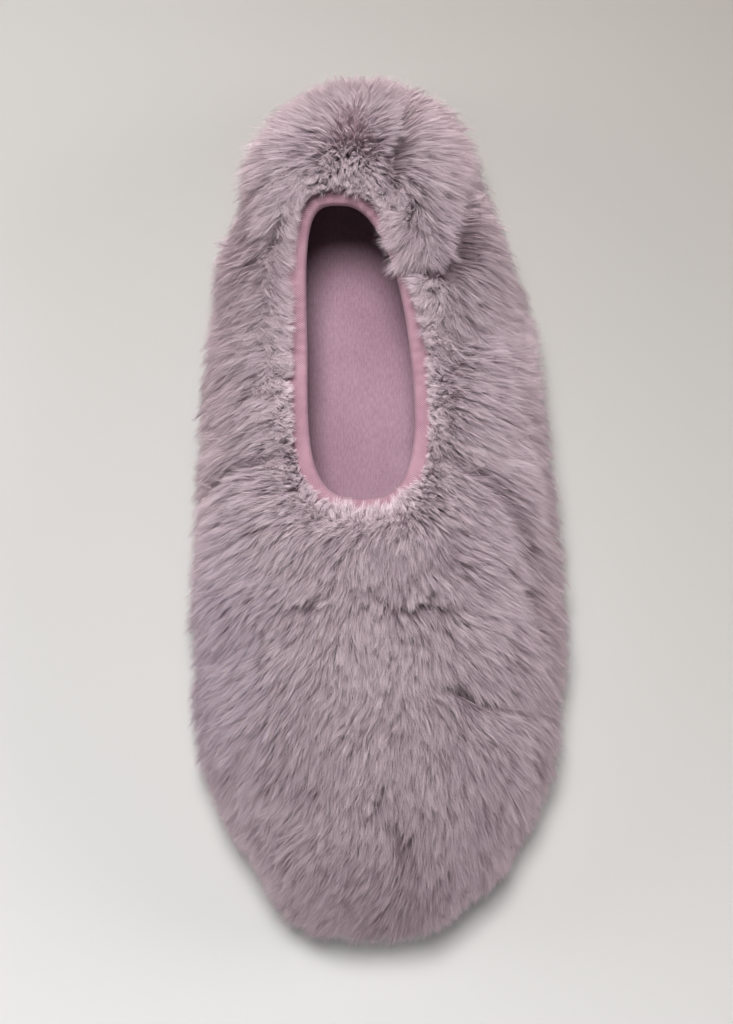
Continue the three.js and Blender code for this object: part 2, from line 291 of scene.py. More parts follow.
def finishPiece(obj, slotName, *replaced):
    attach(obj, "root")
    if replaced:
        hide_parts(*replaced)


# the upper's three panels, by the bearings where they meet
seamHalf = math.degrees(layers["gap"] / 2 / (footbed["front"] / 2))
sideSeam = 92
panels = {
    "outer_quarter": (seamHalf, sideSeam - seamHalf),
    "vamp": (sideSeam + seamHalf, 360 - sideSeam - seamHalf),
    "inner_quarter": (360 - sideSeam + seamHalf, 360 - seamHalf),
}
stackEnd = layers["elastic"] + layers["gap"]


def rowShares(bearing, rows):
    last = stackEnd / span(bearing)
    steps = np.sin(np.linspace(0, math.pi / 2, rows)) ** 1.4  # rows stand closer at the hem and at the mouth
    return 1 - (1 - last[:, None]) * steps[None, :]


# a closed shell over a panel, between two offsets
def panelShell(name, panel, inner, outer, material, columns, rows):
    bearing = np.linspace(*panels[panel], columns)
    shares = rowShares(bearing, rows)
    grid = np.repeat(bearing[:, None], rows, 1)
    outerSide = layerPoint(grid, shares, outer(grid, shares))
    innerSide = layerPoint(grid, shares, inner(grid, shares))
    sections = np.concatenate([outerSide, innerSide[:, ::-1]], 1)
    points, faces = sweep(sections, False)
    return meshPiece(name, inFrame(points), faces, material)


# smooth noise over the surface

def waves(points, size, seed):
    local = np.random.default_rng(seed)
    total = np.zeros(points.shape[:-1])
    for _ in range(7):
        way = local.normal(size=3)
        way *= 2 * math.pi / size / np.linalg.norm(way) * local.uniform(0.6, 1.5)
        total += np.sin(points @ way + local.uniform(0, 2 * math.pi))
    return total / 2.6  # brings the seven waves back to about one


# folds in the upper, as lines in plan: the fur drops at the line, and climbs again over the spread on its right

folds = [
    dict(line=[(12.6, 132), (12.4, 126), (10.4, 113), (7.2, 100)], depth=1.5, spread=9.0),
    dict(
        line=[(33.5, 110), (32.4, 103), (32, 92), (31, 81), (28.9, 74), (24, 68), (17.5, 66)],
        depth=1.4, spread=9.0,
    ),
    dict(line=[(47, -36), (45, -18), (40.5, -4), (33, 6.5), (24, 12), (15.5, 15)], depth=0.7, spread=6.0),
    dict(line=[(-24, 8), (-31, 12), (-40, 13), (-49, 9), (-57, 2)], depth=0.7, spread=6.0),
    dict(line=[(20, 47), (30, 44), (40, 43)], depth=0.35, spread=5.0),
    dict(line=[(17, -31), (10, -37), (3, -34), (-3, -30)], depth=1.0, spread=5.0),
    dict(line=[(26, -32), (20, -36), (15, -35)], depth=0.8, spread=4.0),
    dict(line=[(-18, -31), (-24, -35), (-28, -32)], depth=0.8, spread=4.5),
    dict(line=[(54, -66), (46, -67), (34, -65), (21, -60)], depth=1.1, spread=7.0),
    dict(line=[(-40, -82), (-46, -86), (-51, -84)], depth=0.45, spread=5.0),
    dict(line=[(4, -98), (9, -108), (12, -121)], depth=0.9, spread=6.0),
    dict(line=[(-26, -103), (-33, -108), (-40, -106)], depth=0.75, spread=5.0),
    dict(line=[(24, -121), (17, -124), (11, -122)], depth=0.6, spread=4.0),
]


foldShape = dict(
    drop=1.6, floor=0.6, brink=(1, 6), endReach=6, endShare=0.35, deepest=1.45, hemFade=(0.74, 0.96),
)


# how far the fur is sunk at each place, and how close it stands to the brink of a fold, as shares of a full fold;
# a fold is shallower at its ends, and dies out towards the hem
def foldsAt(plan, share):
    total, brink = np.zeros(len(plan)), np.zeros(len(plan))
    for fold in folds:
        dist = np.full(len(plan), math.inf)
        right = np.zeros(len(plan))
        for start, end in zip(fold["line"], fold["line"][1:]):
            a, d = np.array(start, float), np.subtract(end, start).astype(float)
            along = ((plan - a) @ d) / (d @ d)
            away = plan - a - np.clip(along, 0, 1)[:, None] * d
            far = np.linalg.norm(away, axis=1)
            closer = far < dist
            dist = np.where(closer, far, dist)
            cross = (plan[:, 0] - a[0]) * d[1] - (plan[:, 1] - a[1]) * d[0]
            right = np.where(closer, cross / np.linalg.norm(d), right)
        beyond = 1 - smooth(dist, foldShape["floor"], fold["spread"])
        before = 1 - smooth(dist, 0, foldShape["drop"])
        ends = np.minimum(*(np.linalg.norm(plan - np.array(fold["line"][k]), axis=1) for k in (0, -1)))
        least = foldShape["endShare"]
        strength = fold["depth"] * (least + (1 - least) * smooth(ends, 0, foldShape["endReach"]))
        total += strength * np.where(right > 0, beyond, before)
        edge = strength * (1 - smooth(dist, *foldShape["brink"]))
        brink = np.maximum(brink, np.where(right > 0, 0, edge))
    fade = 1 - smooth(share, *foldShape["hemFade"])
    return np.minimum(total, foldShape["deepest"]) * fade, np.minimum(brink, 1) * fade


# materials

# faux fur: dyed acrylic pile, dull and soft, darker where it is shaded at the root and paler at the frayed tips
def makeFurMaterial():
    material, tree, shader = newMaterial("acrylicFauxFur")
    uv = addNode(tree, "UVMap", uv_map="OFBake")
    parts = addNode(tree, "SeparateXYZ", {"Vector": uv.outputs["UV"]})
    along = addNode(tree, "ValToRGB", {"Fac": parts.outputs["Y"]})
    setRamp(along, [(0.0, "#84717a"), (0.35, "#c5b5bd"), (0.7, "#f2e6ec"), (1.0, "#fff6f9")])
    tone = addNode(tree, "ValToRGB", {"Fac": parts.outputs["X"]})
    setRamp(tone, [
        (0.0, "#e2def2"), (0.1, "#e2def2"),  # the lilac hairs
        (0.13, "#cdc1ca"), (0.4, "#f0e6ec"), (0.7, "#fdf6f9"), (1.0, "#ffffff"),
    ])
    colour = addNode(
        tree, "Mix", {"Factor": 1.0, 6: along.outputs["Color"], 7: tone.outputs["Color"]},
        data_type="RGBA", blend_type="MULTIPLY",
    )
    setInputs(tree, shader, {
        "Base Color": colour.outputs[2], "Roughness": 0.62, "Specular IOR Level": 0.25,
        "Sheen Weight": 0.6, "Sheen Roughness": 0.38, "Sheen Tint": linear("#ffe3ec"),
    })
    return material


# a plain weave: two sets of threads at right angles, turned by an angle
def weaveNodes(tree, vector, threadSize, angle=0.0):
    turned = addNode(tree, "Mapping", {"Vector": vector, "Rotation": (0, 0, math.radians(angle))})
    bands = []
    for direction in ("X", "Y"):
        bands.append(addNode(
            tree, "TexWave",
            {"Vector": turned.outputs["Vector"], "Scale": math.pi / 10 / threadSize,
             "Distortion": 0.6, "Detail": 1.0, "Detail Scale": 3.0},
            wave_type="BANDS", bands_direction=direction, wave_profile="SIN",
        ))
    return addNode(
        tree, "Math", {0: bands[0].outputs["Fac"], 1: bands[1].outputs["Fac"]}, operation="MULTIPLY",
    )


# cotton-polyester bias tape: matt, with its threads slantwise, drawn 0.5 mm apart, coarser than real, to show
def makeBindingMaterial():
    material, tree, shader = newMaterial("wovenBiasTape")
    uv = addNode(tree, "UVMap", uv_map="clothMap")
    weave = weaveNodes(tree, uv.outputs["UV"], 0.5 * mm, 45)
    place = addNode(tree, "TexCoord")
    wear = addNode(
        tree, "TexNoise", {"Vector": place.outputs["Object"], "Scale": 1 / (7 * mm), "Detail": 3.0}
    )
    ramp = addNode(tree, "ValToRGB", {"Fac": wear.outputs["Fac"]})
    setRamp(ramp, [(0.3, "#b88fa0"), (0.7, "#cba5b4")])
    shade = addNode(tree, "ValToRGB", {"Fac": weave.outputs["Value"]})
    setRamp(shade, [(0.0, "#d8cdd2"), (0.6, "#ffffff")])
    colour = addNode(
        tree, "Mix", {"Factor": 1.0, 6: ramp.outputs["Color"], 7: shade.outputs["Color"]},
        data_type="RGBA", blend_type="MULTIPLY",
    )
    bump = addNode(
        tree, "Bump", {"Height": weave.outputs["Value"], "Strength": 0.5, "Distance": 0.15 * mm}
    )
    setInputs(tree, shader, {
        "Base Color": colour.outputs[2], "Normal": bump.outputs["Normal"], "Roughness": 0.85, "Sheen Weight": 0.15,
    })
    return material


# fine polyester cloth of the insole: its threads run lengthwise, drawn 0.45 mm apart, coarser than real, and show
# as soft streaks with a faint sheen
def makeInsoleMaterial():
    material, tree, shader = newMaterial("fineWovenInsoleCloth")
    place = addNode(tree, "TexCoord")
    stretched = addNode(
        tree, "Mapping", {"Vector": place.outputs["Object"], "Scale": (1.0, 0.22, 1.0)}
    )
    streaks = addNode(
        tree, "TexNoise",
        {"Vector": stretched.outputs["Vector"], "Scale": 1 / (0.42 * mm), "Detail": 3.0, "Roughness": 0.6},
    )
    patches = addNode(
        tree, "TexNoise", {"Vector": place.outputs["Object"], "Scale": 1 / (22 * mm), "Detail": 2.0}
    )
    weave = weaveNodes(tree, place.outputs["Object"], 0.45 * mm)
    ramp = addNode(tree, "ValToRGB", {"Fac": streaks.outputs["Fac"]})
    setRamp(ramp, [(0.25, "#a07e90"), (0.5, "#af8d9f"), (0.75, "#bd9bad")])
    soft = addNode(tree, "ValToRGB", {"Fac": patches.outputs["Fac"]})
    setRamp(soft, [(0.3, "#e6dce0"), (0.7, "#ffffff")])
    colour = addNode(
        tree, "Mix", {"Factor": 0.8, 6: ramp.outputs["Color"], 7: soft.outputs["Color"]},
        data_type="RGBA", blend_type="MULTIPLY",
    )
    relief = addNode(
        tree, "Math", {0: weave.outputs["Value"], 1: streaks.outputs["Fac"]}, operation="ADD",
    )
    bump = addNode(
        tree, "Bump", {"Height": relief.outputs["Value"], "Strength": 0.35, "Distance": 0.2 * mm}
    )
    setInputs(tree, shader, {
        "Base Color": colour.outputs[2], "Normal": bump.outputs["Normal"], "Roughness": 0.7, "Sheen Weight": 0.2,
    })
    return material


# a plain material: two colours in a grain of a real size, with a bump of a real depth
def makeGrained(
    name, dark, light, grain, depth, roughness, sheen=0.0, squeeze=(1, 1, 1),
    fineness=0.55, strength=0.5, specular=0.5,
):
    material, tree, shader = newMaterial(name)
    place = addNode(tree, "TexCoord")
    squeezed = addNode(tree, "Mapping", {"Vector": place.outputs["Object"], "Scale": squeeze})
    noise = addNode(
        tree, "TexNoise",
        {"Vector": squeezed.outputs["Vector"], "Scale": 1 / grain, "Detail": 4.0, "Roughness": fineness},
    )
    ramp = addNode(tree, "ValToRGB", {"Fac": noise.outputs["Fac"]})
    setRamp(ramp, [(0.3, dark), (0.7, light)])
    bump = addNode(
        tree, "Bump", {"Height": noise.outputs["Fac"], "Strength": strength, "Distance": depth}
    )
    setInputs(tree, shader, {
        "Base Color": ramp.outputs["Color"], "Normal": bump.outputs["Normal"],
        "Roughness": roughness, "Sheen Weight": sheen, "Specular IOR Level": specular,
    })
    return material


furMaterial = makeFurMaterial()
bindingMaterial = makeBindingMaterial()
insoleMaterial = makeInsoleMaterial()
# the short dense pile and its knitted ground under the long hairs: a dull mauve between them, darker than the
# hairs partly as painted shade in the gaps
gapShadeUnderfurMaterial = makeGrained(
    "knittedPileGroundPaintedShade", "#8b7780", "#b09ca5", 2.2 * mm, 0.6 * mm, 0.95, fineness=0.6, strength=0.9, specular=0.15
)
# brushed knit lining: a soft low nap with no shine, its mauve darkened as painted shade for the deep shadow inside
# the heel
shadeDarkLiningMaterial = makeGrained("brushedKnitLiningPaintedShade", "#4a363f", "#5f4853", 0.7 * mm, 0.2 * mm, 0.9, 0.2)
# spun polyester thread: slightly glossy twisted strands, deeper pink than the tape
threadMaterial = makeGrained(
    "spunPolyesterThread", "#96707f", "#b08998", 0.25 * mm, 0.08 * mm, 0.55, 0.1, (1, 1, 3)
)
# thermoplastic rubber: injection moulded, satin with a fine pebbled skin
soleMaterial = makeGrained("mouldedThermoplasticRubber", "#84717a", "#93808a", 0.5 * mm, 0.05 * mm, 0.55)
# polyester wadding: white fibres in a loose felt
waddingMaterial = makeGrained("polyesterWadding", "#d8d2cc", "#f0ece6", 1.5 * mm, 0.5 * mm, 0.95, 0.2)
# open-cell foam: pale, with small pits
foamMaterial = makeGrained("openCellFoam", "#d9cfc2", "#ece5da", 0.6 * mm, 0.2 * mm, 0.9)
# pressed fibreboard: brown-grey fibres in a flat sheet
boardMaterial = makeGrained("pressedFibreboard", "#ad997a", "#c9b694", 1.2 * mm, 0.08 * mm, 0.85, 0.0, (1, 0.3, 1))
# braided elastic: off-white with close ribs across it
elasticMaterial = makeGrained("braidedElastic", "#cfc8c6", "#efebe9", 0.8 * mm, 0.2 * mm, 0.8, 0.0, (1, 1, 0.3))
print("materials made")


# the way the fur is brushed

fur = dict(
    strands={"vamp": 250000, "outer_quarter": 145000, "inner_quarter": 130000},
    area={"vamp": 21000, "outer_quarter": 11500, "inner_quarter": 10500},
    perPiece=60000, seed=100, lean=7.2, rise=9.2, width=0.14, rootDepth=0.6,
    locks=dict(size=8.0, turn=7, uneven=0.06), tufts=dict(size=1.08, turn=11, uneven=0.15),
    crown=np.array([-10.0, 123.0]), crownCrowd=3.4, crownReach=10, mouthCrowd=1.3, mouthReach=6,
    strays=0.08, lowest=1.2, highest=73.3,
)
# the angles the hair is brushed to, from +X, at columns across and rows along the slipper; where none is given
# the hair only turns away from the mouth
comb = dict(
    mouthLine=(np.array([-6.0, 12.0]), np.array([-8.0, 88.0])), spread=5.5, outward=0.02,
    columns=[-52, -39, -26, -13, 0, 13, 26, 39, 52],
    rows={
        130: [150, 150, 138, 108, 68, 35, 15, 0, 0],
        117: [170, 180, 180, -125, -25, 5, -5, -10, -10],
        104: [-165, -150, -165, -115, -60, -20, -20, -45, -50],
        91: [-120, -135, -145, None, 175, -10, -30, -50, -50],
        78: [-115, -135, -140, None, -150, -60, -60, -50, -50],
        65: [-125, -135, -140, None, None, -75, -50, -35, -30],
        52: [-125, -135, -140, None, None, -40, 20, 5, -30],
        39: [-120, -130, -135, None, None, -20, -15, -25, -40],
        26: [-120, -130, -140, None, None, -60, -50, -45, -55],
        13: [-125, -145, -165, None, None, -50, -35, -50, -50],
        0: [-130, -135, -155, -165, -130, -45, -40, -40, -45],
        -13: [-125, -130, -125, -120, -105, -65, -45, -45, -50],
        -26: [-120, -130, -130, -115, -85, -75, -40, -40, -55],
        -39: [-120, -130, -130, -100, -85, -75, -50, -40, -55],
        -52: [-120, -120, -115, -100, -95, -75, -50, -50, -70],
        -65: [-130, -125, -115, -105, -100, -85, -60, -55, -55],
        -78: [-125, -130, -115, -105, -95, -90, -80, -75, -80],
        -91: [-120, -135, -125, -115, -105, -95, -75, -75, -80],
        -104: [-115, -125, -125, -125, -120, -85, -75, -80, -90],
        -117: [-110, -110, -120, -130, -130, -85, -70, -85, -85],
        -130: [-120, -120, -120, -125, -120, -95, -85, -75, -75],
    },
)


def turned(way, degrees):
    x, y, a = way[:, 0], way[:, 1], np.radians(degrees)
    return np.stack([x * np.cos(a) - y * np.sin(a), x * np.sin(a) + y * np.cos(a)], 1)


def unit(v):
    return v / np.maximum(np.linalg.norm(v, axis=-1, keepdims=True), 1e-9)


def hairWay(plan):
    total = np.zeros((len(plan), 2))
    for y, angles in comb["rows"].items():
        for x, angle in zip(comb["columns"], angles):
            if angle is not None:
                far = (plan[:, 0] - x) ** 2 + (plan[:, 1] - y) ** 2
                weight = np.exp(-far / (2 * comb["spread"] ** 2))
                turn = math.radians(angle)
                total += weight[:, None] * np.array([math.cos(turn), math.sin(turn)])
    a, b = comb["mouthLine"]
    t = np.clip(((plan - a) @ (b - a)) / ((b - a) @ (b - a)), 0, 1)
    return unit(total + comb["outward"] * unit(plan - a - t[:, None] * (b - a)))


# about where the tip of a hair comes in plan, which is where its folds are read; 6 mm of cloth lies under it
def tipPlan(bearing, share):
    form, normal = (f(bearing, share).reshape(-1, 3)[:, :2] for f in (formPoint, formNormal))
    return form + hairWay(form) * (0.9 * fur["lean"]) + normal * (0.8 * (fur["rise"] + 6))


# the lining and the pile's ground

upper = dict(columns=90, liningRows=30, rows=44, underfur=1.6, foldDepth=2.6, deepest=-0.9)


def skinOff(bearing, share):
    base = furBase(bearing, share) + layers["backing"]
    ease = pileEase(bearing, share)
    fold = foldsAt(tipPlan(bearing, share), share.ravel())[0].reshape(bearing.shape)
    swell = 0.5 * waves(formPoint(bearing, share), 26, 5)
    return base + ease * np.maximum(upper["underfur"] + swell - upper["foldDepth"] * fold, upper["deepest"])


for panel in panels:
    columns = upper["columns"] * (2 if panel == "vamp" else 1)
    lining = panelShell(
        panel + "Lining", panel,
        lambda b, s: np.zeros_like(b), lambda b, s: np.full_like(b, layers["lining"]),
        shadeDarkLiningMaterial, columns, upper["liningRows"],
    )
    finishPiece(lining, "lining", panel + "_lining")
    ground = panelShell(panel + "PileGround", panel, furBase, skinOff, gapShadeUnderfurMaterial, columns, upper["rows"])
    finishPiece(ground, "fur", panel + "_fur")
print("lining and pile ground made")


# the fur, as single hairs gathered in tufts and locks

# bearing and share of each root, even over the coat at half its height, and closer by the mouth and at the crown
def sampleRoots(panel, count, local):
    bearings = np.linspace(*panels[panel], 241 if panel == "vamp" else 121)
    rows = np.linspace(0, 1, 71)
    start = layers["bindingWidth"] / span(bearings)
    shares = 1 - (1 - start[:, None]) * rows[None, :]
    points = layerPoint(np.repeat(bearings[:, None], len(rows), 1), shares, np.full_like(shares, 8.0))
    toMouth = (1 - rows[:-1]) * span(bearings[:-1])[:, None]
    toCrown = np.linalg.norm(points[:-1, :-1, :2] - fur["crown"], axis=-1)
    denser = 1 + fur["mouthCrowd"] * np.exp(-((toMouth / fur["mouthReach"]) ** 2))
    denser += fur["crownCrowd"] * np.exp(-((toCrown / fur["crownReach"]) ** 2))
    across = points[1:, :-1] - points[:-1, :-1]
    down = points[:-1, 1:] - points[:-1, :-1]
    area = np.linalg.norm(np.cross(across, down), axis=-1) * denser
    chosen = local.choice(area.size, count, p=(area / area.sum()).ravel())
    i, j = np.unravel_index(chosen, area.shape)
    u, v = local.random(count), local.random(count)
    bearing = bearings[i] + (bearings[1] - bearings[0]) * u
    row = (j + v) / (len(rows) - 1)
    share = 1 - (1 - layers["bindingWidth"] / span(bearing)) * row
    return bearing, share


# shares of the lean or of the rise, and reaches in millimetres
lie = dict(
    foldLean=0.4, brinkLean=0.3, crownLean=0.8, foldRise=0.62, brinkRise=0.12, mouthRise=0.74, mouthReach=11,
    crownSize=8.0, crownTurn=2, wallDown=0.75, wallRise=0.36, wallSide=1.35, cornerDrop=0.32,
    cornerLength=(74, 104), cornerWidth=(12, 26), cornerShare=(0.5, 0.85), overPushed=1.5, overReach=(1.5, 8),
    overLift=4.5, overRoll=10, overTurn=1.4, overTurnMost=30,
)
overlap = dict(
    usual=0.42, inner=0.2, heel=0.2, lump=0.7, outer=0.15, throat=0.28, lumpAt=np.array([7, 83]), lumpSize=8.0,
)


# points in plan, with their heights
def lifted(flat, height):
    return np.concatenate([flat, height], 1)


# root, normal, direction, lean and rise of the hair at each place, and how far it is in a fold and in the crown
def layHair(bearing, share, turn, longer, higher, pushed):
    normal = formNormal(bearing, share)
    form = formPoint(bearing, share)
    level = np.zeros((len(form), 1))
    root = form + normal * (skinOff(bearing, share) - fur["rootDepth"])[:, None]
    away = fromBinding(bearing, share)
    sunk, brink = foldsAt(tipPlan(bearing, share), share)
    crowned = np.exp(-np.sum((form[:, :2] - fur["crown"]) ** 2, 1) / (2 * lie["crownSize"] ** 2))
    lean = fur["lean"] * longer * (1 - lie["foldLean"] * sunk) * (1 - lie["brinkLean"] * brink)
    lean = lean * (1 - lie["crownLean"] * crowned)
    byMouth = lie["mouthRise"] + (1 - lie["mouthRise"]) * smooth(away, 0, lie["mouthReach"])
    rise = fur["rise"] * higher * (1 - lie["foldRise"] * sunk) * (1 + lie["brinkRise"] * brink) * byMouth
    plan = turned(hairWay(form[:, :2]), turn * (1 + lie["crownTurn"] * crowned))
    # on a steep wall the hair springs straight out, and leans sideways so that it keeps its direction from above
    steep = np.linalg.norm(normal[:, :2], axis=1)
    outward = unit(normal[:, :2])
    sideways = np.stack([-outward[:, 1], outward[:, 0]], 1)
    outPart, sidePart = np.sum(plan * outward, 1), np.sum(plan * sideways, 1)
    reach = rise * steep + lean * outPart * normal[:, 2] ** 2
    mostSide = lie["wallSide"] * lean
    wanted = np.clip(reach * sidePart / np.maximum(outPart, 0.4), -mostSide, mostSide)
    sideLean = (1 - steep) * lean * sidePart + steep * wanted
    downhill = lifted(outward * normal[:, 2:], -steep[:, None])
    downLean = outPart * normal[:, 2] + lie["wallDown"] * steep**2
    way = lifted(sideways, level) * (sideLean / lean)[:, None] + downhill * downLean[:, None]
    rise = rise + lie["wallRise"] * lean * np.maximum(outPart, 0) * steep
    # the pile is sheared rounder at the corners of the toe and of the heel
    corner = smooth(np.abs(form[:, 1]), *lie["cornerLength"]) * smooth(np.abs(form[:, 0] + 4), *lie["cornerWidth"])
    rise = rise * (1 - lie["cornerDrop"] * corner * smooth(share, *lie["cornerShare"]))
    # part of the hair by the mouth is pushed up and over the binding's rolled edge by the hair behind it
    fromMouth = outwardFromMouth(bearing)
    upright = (rise + lie["overLift"]) * np.maximum(np.sum(normal[:, :2] * fromMouth, 1), 0) / lean
    over = (np.minimum(lie["overPushed"] * pushed, 1) * (1 - smooth(away, *lie["overReach"])))[:, None]
    overTurn = np.clip(lie["overTurn"] * turn, -lie["overTurnMost"], lie["overTurnMost"])
    inward = -lifted(turned(fromMouth, overTurn), level)
    way = way * (1 - over) + inward * over * (overlapAt(form) + upright)[:, None]
    way[:, 2] += over[:, 0] * lie["overRoll"] * (1 - normal[:, 2]) / lean
    return root, normal, way, lean, rise, sunk, crowned


# how much of the hair's lean goes over the binding: most from the outer lump and at the throat
def overlapAt(form):
    x, y = form[:, 0], form[:, 1]
    inner = smooth(-x, 10, 24)
    heel = smooth(y, 88, 97) * (1 - inner)
    lump = np.exp(-np.sum((form[:, :2] - overlap["lumpAt"]) ** 2, 1) / (2 * overlap["lumpSize"] ** 2))
    outer = smooth(x, 2, 8) * smooth(30 - np.abs(y - 32), 0, 12)
    throat = smooth(-y, -12, -2)
    total = overlap["usual"] - overlap["inner"] * inner - overlap["heel"] * heel + overlap["lump"] * lump
    return total - overlap["outer"] * outer + overlap["throat"] * throat


# degrees by which neighbouring hairs turn together, in broad and in fine waves
def hairTurn(points):
    return 8 * waves(points, 30, 11) + 7 * waves(points, 12, 12)


# a guide for each lock or tuft, which its hairs follow
def makeGuides(panel, kind, local):
    bearing, share = sampleRoots(panel, int(fur["area"][panel] / kind["size"] ** 2), local)
    n = len(bearing)
    form = formPoint(bearing, share)
    tree = KDTree(n)
    for k, p in enumerate(form):
        tree.insert(p, k)
    tree.balance()
    return dict(
        bearing=bearing, share=share, form=form, tree=tree, turn=local.normal(0, kind["turn"], n),
        long=local.normal(1, kind["uneven"], n), lift=local.normal(1, kind["uneven"] * 1.2, n),
        tone=local.normal(0, 1, n), pushed=smooth(local.random(n), 0.15, 0.75),
    )


def nearest(guides, form):
    return np.array([guides["tree"].find(p)[1] for p in form])


def makeStrands(panel, count, seed):
    local = np.random.default_rng(seed)
    locks, tufts = (makeGuides(panel, fur[kind], local) for kind in ("locks", "tufts"))
    ofLock = nearest(locks, tufts["form"])
    tuftTurn = hairTurn(tufts["form"]) + locks["turn"][ofLock] + tufts["turn"]
    tuftLong = np.clip(locks["long"][ofLock] * tufts["long"], 0.5, 1.35)
    tuftLift = np.clip(locks["lift"][ofLock] * tufts["lift"], 0.35, 1.6)
    tuftRoot, tuftNormal, tuftWay, tuftLean, tuftRise, _, _ = layHair(
        tufts["bearing"], tufts["share"], tuftTurn, tuftLong, tuftLift, tufts["pushed"]
    )
    tuftTip = tuftRoot + tuftWay * tuftLean[:, None] + tuftNormal * tuftRise[:, None]

    # each hair starts from its tuft's turn, length and height, and a few stray from it
    bearing, share = sampleRoots(panel, count, local)
    form = formPoint(bearing, share)
    of = nearest(tufts, form)
    stray = local.random(count) < fur["strays"]
    turn = hairTurn(form) + locks["turn"][ofLock[of]] + tufts["turn"][of] * 0.8
    turn += local.normal(0, 1, count) * np.where(stray, 25, 9)
    longer = tuftLong[of] * local.normal(1, 0.14, count)
    higher = np.clip(tuftLift[of] * np.where(stray, 1.12, 1.0) * local.normal(1, 0.12, count), 0.4, 1.35)
    pushed = np.clip(tufts["pushed"][of] + local.normal(0, 0.25, count), 0, 1)
    root, normal, way, lean, rise, sunk, crowned = layHair(bearing, share, turn, longer, higher, pushed)

    # its tip is gathered to the tuft's tip, and its middle bows up and to the side
    gather = np.where(stray, 0.05, local.uniform(0.3, 0.8, count))[:, None]
    tip = root + way * lean[:, None] + normal * rise[:, None]
    tip = tip * (1 - gather) + (tuftTip[of] + local.normal(0, 0.16, (count, 3))) * gather
    side = unit(np.cross(unit(tip - root), normal) + local.normal(0, 0.05, (count, 3)))
    middle = root + (tip - root) * 0.5 + normal * (rise * 0.2)[:, None]
    middle = middle + side * local.normal(0, 0.35, count)[:, None]
    roll = local.normal(0, 0.7, count)[:, None]
    face = unit(np.cross(side, unit(tip - root)))
    half = fur["width"] / 2 * local.uniform(0.7, 1.35, count)
    flat = (side * np.cos(roll) + face * np.sin(roll)) * half[:, None]
    points = np.stack([root - flat, root + flat, middle - flat * 0.85, middle + flat * 0.85, tip], 1)
    points[..., 2] = np.clip(points[..., 2], fur["lowest"], fur["highest"])

    # its tone goes with its lock and tuft, and some hairs on the inner side of the vamp are lilac
    tone = 0.52 + 0.07 * waves(form, 30, 21) + 0.05 * locks["tone"][ofLock[of]] + 0.13 * tufts["tone"][of]
    tone = np.clip(tone + local.normal(0, 0.13, count), 0.14, 0.97)
    lilac = 0.45 * np.exp(-(((form[:, 0] + 44) / 13) ** 2) - ((form[:, 1] + 46) / 36) ** 2)
    tone = np.where(local.random(count) < lilac, local.uniform(0.01, 0.08, count), tone)
    shine = unit(normal + local.normal(0, 0.25, (count, 3)) + 0.35 * way)
    # in a fold the whole hair takes the darker colours of its lower part, as painted shade in the fold, and at the
    # crown its roots take paler colours, as painted light against the shade there
    reach = np.stack([0.4 * crowned, 1 - 0.55 * np.minimum(sunk, 1)], 1)
    return points, tone, shine, reach


# a hair is a narrow ribbon of five points, a four-sided face with a three-sided one at its tip
def strandPiece(name, points, tone, shine, reach):
    count = len(points)
    mesh = bpy.data.meshes.new(name)
    mesh.vertices.add(count * 5)
    mesh.vertices.foreach_set("co", inFrame(points).astype(np.float32).ravel())
    pattern = np.array([0, 1, 3, 2, 2, 3, 4])
    loops = (np.arange(count)[:, None] * 5 + pattern[None, :]).ravel()
    mesh.loops.add(len(loops))
    mesh.loops.foreach_set("vertex_index", loops.astype(np.int32))
    mesh.polygons.add(count * 2)
    starts = (np.arange(count)[:, None] * 7 + np.array([0, 4])[None, :]).ravel()
    mesh.polygons.foreach_set("loop_start", starts.astype(np.int32))
    mesh.update(calc_edges=True)
    hairMap = mesh.uv_layers.new(name="OFBake")  # across is the hair's tone, and up its height from root to tip
    sideways = np.array([-1, 1, -1, 1, 0]) * 0.006
    heights = np.array([0.01, 0.01, 0.5, 0.5, 0.99])
    uv = np.empty((count, 7, 2), np.float32)
    uv[:, :, 0] = tone[:, None] + sideways[pattern][None, :]
    # the reach sets each hair's colours: darker in a fold as painted shade, paler at the crown's roots as painted
    # light
    uv[:, :, 1] = reach[:, :1] + (reach[:, 1:] - reach[:, :1]) * heights[pattern][None, :]
    hairMap.data.foreach_set("uv", uv.ravel())
    obj = addPiece(name, mesh, furMaterial)
    # a round hair is lit from all sides, so its ribbon takes the light as the coat's surface does
    mesh.normals_split_custom_set_from_vertices(np.repeat(shine, 5, 0).astype(np.float32))
    return obj


for seed, (panel, count) in enumerate(fur["strands"].items()):
    strands = makeStrands(panel, count, fur["seed"] + seed)
    fromToe = np.argsort(strands[0][:, 0, 1])
    for k, chosen in enumerate(np.array_split(fromToe, math.ceil(count / fur["perPiece"]))):
        piece = strandPiece(f"{panel}Fur{k + 1}", *(values[chosen] for values in strands))
        finishPiece(piece, "fur")
    print("fur laid on", panel, count, "strands")


# the mouth's binding, its gathers and its stitches

binding = dict(
    columns=440, edgeRoll=0.6, edgeSteps=9, gather=0.14, gatherPitch=3.4,
    stitchPitch=2.7, stitchLength=1.7, stitchInset=1.15, thread=0.36,
)


# a point at a distance from the mouth's edge, which is past the edge where it is negative
def edgePoint(bearing, distance, off):
    distance = np.broadcast_to(np.asarray(distance, float), bearing.shape)
    point = layerPoint(bearing, np.maximum(distance, 0) / span(bearing), np.broadcast_to(off, bearing.shape))
    out = outwardFromMouth(bearing) * np.minimum(distance, 0)[..., None]
    return point + np.concatenate([out, np.zeros(bearing.shape + (1,))], -1)


# the length run along a line, up to each of its points
def runAlong(line):
    return np.concatenate([[0], np.cumsum(np.linalg.norm(np.diff(line, axis=0), axis=1))])


# bearings that lie evenly along the mouth's edge, and its length
def evenBearings(count):
    fine = np.linspace(0, 360, 7201)
    run = runAlong(formPoint(fine, np.zeros_like(fine)))
    return np.interp(np.linspace(0, run[-1], count, endpoint=False), run, fine), run[-1]


